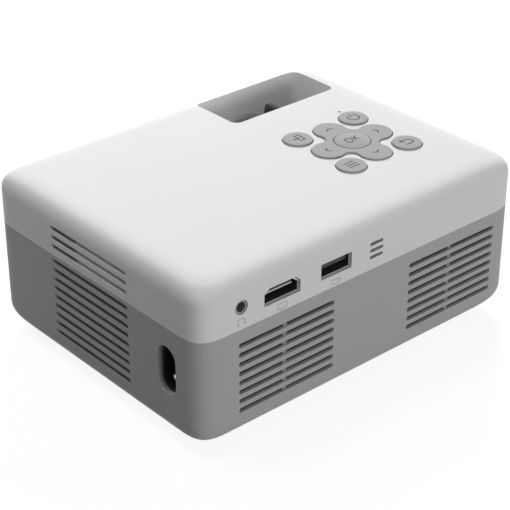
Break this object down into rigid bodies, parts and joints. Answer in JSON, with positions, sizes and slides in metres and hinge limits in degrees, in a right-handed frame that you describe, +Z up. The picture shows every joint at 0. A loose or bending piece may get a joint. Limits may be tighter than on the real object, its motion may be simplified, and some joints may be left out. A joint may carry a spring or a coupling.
{
  "type": "compact video projector",
  "caption": "Palm-sized box projector: soft white upper case over a slotted grey lower case, lens in front, focus well and keypad on top, sockets behind.",
  "frame": {"origin": "on the table, under the middle of the case", "axes": "+Z up, the lens looks along -Y, the sockets face +Y, the mains inlet faces +X"},
  "size_m": [0.145, 0.1126, 0.0627],
  "materials": {
    "black_plastic": "moulded plastic",
    "board_aluminium": "white solder mask on aluminium",
    "brass_bush": "turned",
    "capacitor_sleeve": "sleeved can",
    "circuit_board": "green solder mask",
    "clear_sheet": "clear sheet",
    "contact_plating": "plated contact strips",
    "dark_plastic": "satin moulded plastic",
    "emitter_yellow": "phosphor",
    "engine_plastic": "glass-filled plastic",
    "ferrite": "ferrite and tape",
    "foot_rubber": "soft rubber",
    "grey_plastic": "fine matt moulded ABS",
    "icon_ink": "pad-printed ink",
    "key_plastic": "fine matt, printed icons",
    "lead_sheath": "insulated lead",
    "lens_glass": "coated glass",
    "light_pipe": "clear moulded rod",
    "panel_glass": "picture panel",
    "paper_cone": "coated paper",
    "pin_metal": "plated pins",
    "reflector": "metallised",
    "screw_steel": "zinc plated",
    "sink_aluminium": "black anodised extrusion",
    "socket_metal": "nickel-plated sheet",
    "switch_metal": "pressed sheet",
    "white_plastic": "fine matt moulded ABS"
  },
  "bodies": {
    "case": {"audio_jack": "black_plastic", "board_capacitors": "capacitor_sleeve", "board_screws": "screw_steel", "bottom_shell": "grey_plastic", "case_screws": "screw_steel", "condenser_lens": "lens_glass", "data_socket_shell": "socket_metal", "data_socket_tongue": "black_plastic", "engine_cover": "engine_plastic", "engine_housing": "engine_plastic", "engine_screws": "screw_steel", "fan_frame": "black_plastic", "fan_lead": "lead_sheath", "front_fresnel": "clear_sheet", "heat_glass": "clear_sheet", "heat_sink": "sink_aluminium", "inlet_pins": "pin_metal", "keypad_board": "circuit_board", "lamp_lead": "lead_sheath", "lcd_panel": "panel_glass", "led_board": "board_aluminium", "led_emitter": "emitter_yellow", "lens_bay": "white_plastic", "lens_bezel": "dark_plastic", "lens_mount": "black_plastic", "light_cone": "reflector", "main_board": "circuit_board", "mains_capacitors": "capacitor_sleeve", "mains_inlet": "black_plastic", "mains_lead_lower": "lead_sheath", "mains_lead_upper": "lead_sheath", "power_board": "circuit_board", "processor": "sink_aluminium", "rear_fresnel": "clear_sheet", "remote_receiver": "black_plastic", "rubber_feet": "foot_rubber", "speaker_basket": "socket_metal", "speaker_cone": "paper_cone", "speaker_lead": "lead_sheath", "status_light_pipe": "light_pipe", "tact_switches": "switch_metal", "top_shell": "white_plastic", "transformer": "ferrite", "tripod_insert": "brass_bush", "video_socket_shell": "socket_metal", "video_socket_tongue": "black_plastic"},
    "focus_ring": {"focus_ring": "black_plastic"},
    "lens": {"lens_barrel": "black_plastic", "lens_retainer": "black_plastic", "front_lens": "lens_glass", "middle_lens": "lens_glass", "rear_lens": "lens_glass"},
    "power_key": {"power_key": "key_plastic"},
    "source_key": {"source_key": "key_plastic"},
    "back_key": {"back_key": "key_plastic"},
    "menu_key": {"menu_key": "key_plastic"},
    "ok_key": {"ok_key": "key_plastic"},
    "nav_gimbal": {"nav_gimbal": "key_plastic"},
    "nav_pad": {"nav_pad": "key_plastic"},
    "fan_rotor": {"fan_rotor": "black_plastic"}
  },
  "joints": [
    {"name": "focus_turn", "type": "hinge", "parent": "case", "child": "focus_ring", "pos_m": [-0.0393, -0.04, 0.0315], "axis": [0, 1, 0], "range_deg": [-31, 51]},
    {"name": "focus_slide", "type": "slide", "parent": "case", "child": "lens", "axis": [0, -1, 0], "range_m": [-0.0013, 0.0021]},
    {"name": "power_key_press", "type": "slide", "parent": "case", "child": "power_key", "axis": [0, 0, -1], "range_m": [0, 0.00025], "stiffness_N_per_m": 1500},
    {"name": "source_key_press", "type": "slide", "parent": "case", "child": "source_key", "axis": [0, 0, -1], "range_m": [0, 0.00025], "stiffness_N_per_m": 1500},
    {"name": "back_key_press", "type": "slide", "parent": "case", "child": "back_key", "axis": [0, 0, -1], "range_m": [0, 0.00025], "stiffness_N_per_m": 1500},
    {"name": "menu_key_press", "type": "slide", "parent": "case", "child": "menu_key", "axis": [0, 0, -1], "range_m": [0, 0.00025], "stiffness_N_per_m": 1500},
    {"name": "ok_key_press", "type": "slide", "parent": "case", "child": "ok_key", "axis": [0, 0, -1], "range_m": [0, 0.00025], "stiffness_N_per_m": 1500},
    {"name": "pad_rock_x", "type": "hinge", "parent": "case", "child": "nav_gimbal", "pos_m": [-0.0363, 0.00975, 0.056], "axis": [1, 0, 0], "range_deg": [-1.3, 1.3], "stiffness_Nm_per_rad": 0.7},
    {"name": "pad_rock_y", "type": "hinge", "parent": "nav_gimbal", "child": "nav_pad", "pos_m": [-0.0363, 0.00975, 0.056], "axis": [0, 1, 0], "range_deg": [-1.3, 1.3], "stiffness_Nm_per_rad": 0.7},
    {"name": "fan_spin", "type": "hinge", "parent": "case", "child": "fan_rotor", "pos_m": [0.064, -0.0008, 0.0272], "axis": [1, 0, 0], "continuous": true}
  ],
  "couplings": [
    {"joint": "focus_turn", "follows": "focus_slide", "rad_per_m": 400}
  ]
}
